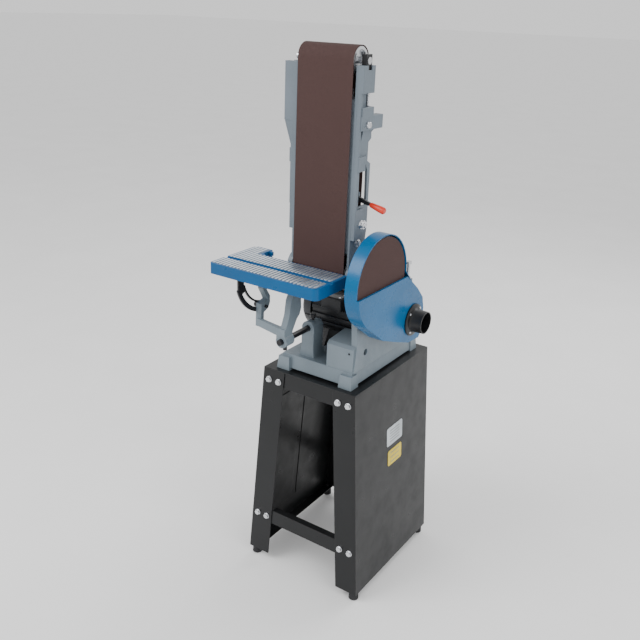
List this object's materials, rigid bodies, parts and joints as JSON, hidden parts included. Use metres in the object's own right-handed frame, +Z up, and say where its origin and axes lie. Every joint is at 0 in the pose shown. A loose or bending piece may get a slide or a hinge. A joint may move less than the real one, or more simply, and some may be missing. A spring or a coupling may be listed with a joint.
{
  "type": "belt and disc sander",
  "caption": "Floor-standing sander with an upright abrasive belt on a tilting arm, a guarded abrasive disc, a tilting ribbed work table and a splayed sheet-metal stand.",
  "frame": {"origin": "on the floor under the middle of the whole machine", "axes": "+Z up, +X towards the disc side, -Y towards the side that the upright abrasive belt faces"},
  "size_m": [0.4512, 0.519, 1.4657],
  "materials": {
    "stand_paint": "satin charcoal enamel",
    "foot_rubber": "matt",
    "bolt_steel": "zinc plated",
    "black_steel": "blackened",
    "cast_paint": "pale blue-grey paint over casting",
    "table_alloy": "blue edges, ribbed bright top",
    "platen_steel": "ground",
    "abrasive": "coated abrasive grit",
    "drum_alloy": "turned",
    "bearing_steel": "ground",
    "block_steel": "milled",
    "tracking_knob": "zinc plated",
    "grip_plastic": "ribbed orange-red",
    "pulley_iron": "turned",
    "belt_rubber": "matt",
    "motor_paint": "dark enamel on cast fins",
    "bell_paint": "dark enamel",
    "guard_paint": "gloss blue enamel",
    "port_plastic": "moulded",
    "box_plastic": "moulded",
    "green_plastic": "moulded",
    "red_plastic": "moulded"
  },
  "bodies": {
    "frame": {"stand_side_left": "stand_paint", "stand_side_right": "stand_paint", "stand_top": "stand_paint", "stand_front_apron": "stand_paint", "stand_front_rail": "stand_paint", "stand_rear_apron": "stand_paint", "stand_rear_rail": "stand_paint", "foot_front_left": "foot_rubber", "foot_front_right": "foot_rubber", "foot_rear_left": "foot_rubber", "foot_rear_right": "foot_rubber", "stand_apron_bolt_1": "bolt_steel", "stand_apron_bolt_2": "bolt_steel", "stand_apron_bolt_3": "bolt_steel", "stand_apron_bolt_4": "bolt_steel", "stand_rail_bolt_1": "bolt_steel", "stand_rail_bolt_2": "bolt_steel", "stand_rail_bolt_3": "bolt_steel", "stand_rail_bolt_4": "bolt_steel", "base_casting": "cast_paint", "spindle_pedestal": "cast_paint", "stop_bracket": "cast_paint", "stop_bolt": "bolt_steel", "bearing_right": "bearing_steel", "motor_body": "motor_paint", "motor_end_bell": "bell_paint", "disc_guard": "guard_paint", "guard_cover": "guard_paint", "dust_port": "port_plastic", "drive_belt": "belt_rubber", "switch_box": "box_plastic"},
    "carrier": {"table_bar": "black_steel", "table_bracket": "cast_paint", "bar_set_screw": "black_steel", "tilt_pin": "bolt_steel"},
    "table": {"table": "table_alloy", "table_quadrant": "black_steel"},
    "quadrant_lock": {"quadrant_lock_bolt": "black_steel"},
    "bar_clamp": {"bar_clamp_screw": "black_steel"},
    "arm": {"arm_frame": "cast_paint", "platen": "platen_steel", "abrasive_belt": "abrasive", "bearing_left": "bearing_steel", "tension_spring": "bolt_steel"},
    "tension": {"tension_block": "block_steel", "idler_axle": "bolt_steel"},
    "idler": {"idler_drum": "drum_alloy"},
    "lever": {"tension_lever": "black_steel", "lever_grip": "grip_plastic"},
    "tracking": {"tracking_screw": "tracking_knob"},
    "spindle": {"spindle": "bolt_steel", "drive_drum": "drum_alloy", "spindle_pulley": "pulley_iron", "disc_plate": "drum_alloy", "abrasive_disc": "abrasive"},
    "rotor": {"motor_shaft": "bolt_steel", "motor_pulley": "pulley_iron"},
    "start": {"start_button": "green_plastic"},
    "stop": {"stop_button": "red_plastic"}
  },
  "joints": [
    {"name": "bar_slide", "type": "slide", "parent": "frame", "child": "carrier", "axis": [0, -1, 0], "range_m": [0, 0.045]},
    {"name": "table_tilt", "type": "hinge", "parent": "carrier", "child": "table", "pos_m": [-0.05065, -0.1445, 0.909], "axis": [1, 0, 0], "range_deg": [0, 45]},
    {"name": "quadrant_lock_turn", "type": "hinge", "parent": "carrier", "child": "quadrant_lock", "pos_m": [-0.13665, -0.16477, 0.81363], "axis": [1, 0, 0], "range_deg": [-90, 90]},
    {"name": "bar_clamp_turn", "type": "hinge", "parent": "frame", "child": "bar_clamp", "pos_m": [-0.03165, -0.0735, 0.78], "axis": [0, 0, 1], "range_deg": [-90, 90]},
    {"name": "arm_tilt", "type": "hinge", "parent": "frame", "child": "arm", "pos_m": [0.00935, -0.0879, 0.924], "axis": [-1, 0, 0], "range_deg": [0, 90]},
    {"name": "lever_swing", "type": "hinge", "parent": "arm", "child": "lever", "pos_m": [0.07535, -0.0715, 1.1176], "axis": [0, -1, 0], "range_deg": [0, 60]},
    {"name": "tension_travel", "type": "slide", "parent": "arm", "child": "tension", "axis": [0, 0, -1], "range_m": [0, 0.005], "deforming": ["tension_spring"]},
    {"name": "tracking_turn", "type": "hinge", "parent": "arm", "child": "tracking", "pos_m": [0.10435, -0.0879, 1.29265], "axis": [1, 0, 0], "range_deg": [-180, 180]},
    {"name": "spindle_spin", "type": "hinge", "parent": "frame", "child": "spindle", "pos_m": [0.00935, -0.0879, 0.924], "axis": [1, 0, 0], "continuous": true},
    {"name": "idler_spin", "type": "hinge", "parent": "tension", "child": "idler", "pos_m": [0.00935, -0.0879, 1.43265], "axis": [1, 0, 0], "continuous": true},
    {"name": "rotor_spin", "type": "hinge", "parent": "frame", "child": "rotor", "pos_m": [0.00935, 0.0495, 0.775], "axis": [1, 0, 0], "continuous": true},
    {"name": "start_press", "type": "slide", "parent": "frame", "child": "start", "axis": [1, 0, 0], "range_m": [0, 0.003], "stiffness_N_per_m": 500, "springref_m": -0.001},
    {"name": "stop_press", "type": "slide", "parent": "frame", "child": "stop", "axis": [1, 0, 0], "range_m": [0, 0.003], "stiffness_N_per_m": 500, "springref_m": -0.001}
  ],
  "couplings": [
    {"joint": "lever_swing", "follows": "tension_travel", "rad_per_m": 209.4},
    {"joint": "idler_spin", "follows": "spindle_spin", "ratio": 1},
    {"joint": "rotor_spin", "follows": "spindle_spin", "ratio": 1.4783}
  ]
}
